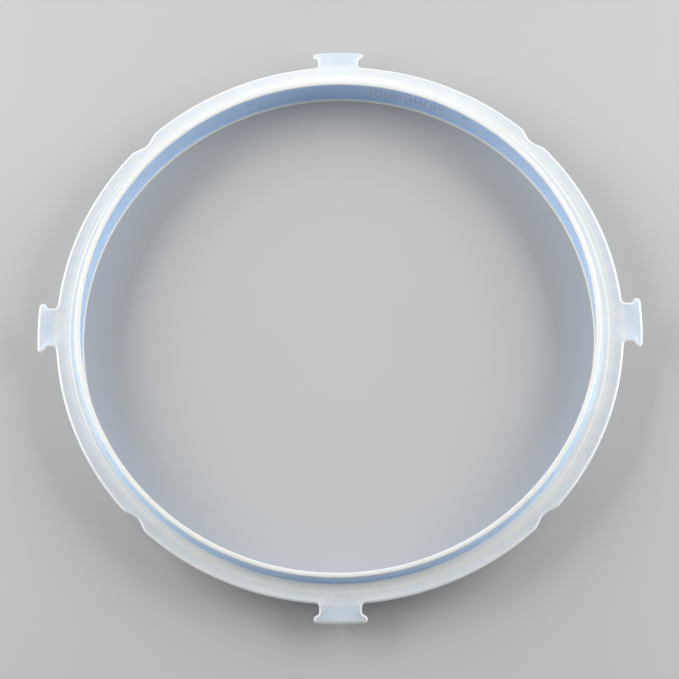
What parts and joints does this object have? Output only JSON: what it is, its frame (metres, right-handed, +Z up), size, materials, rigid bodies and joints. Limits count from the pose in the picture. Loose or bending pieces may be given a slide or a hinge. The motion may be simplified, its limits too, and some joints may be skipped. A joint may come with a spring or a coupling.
{
  "type": "pressure cooker sealing ring",
  "caption": "Round sealing ring for a pressure cooker lid: a short silicone wall with a lip at both edges and an outer flange, T-headed ears and shallow notches in its rim.",
  "frame": {"origin": "on the ring's axis, at the height of the wall's lower edge, on which it stands", "axes": "+Z up along the ring's axis, from the lower edge to the upper one; the ears point along +X, +Y, -X and -Y"},
  "size_m": [0.256, 0.256, 0.0192],
  "materials": {
    "translucent_silicone": "translucent milky moulded silicone, satin"
  },
  "bodies": {
    "root": {"sealing_ring": "translucent_silicone"}
  },
  "joints": []
}
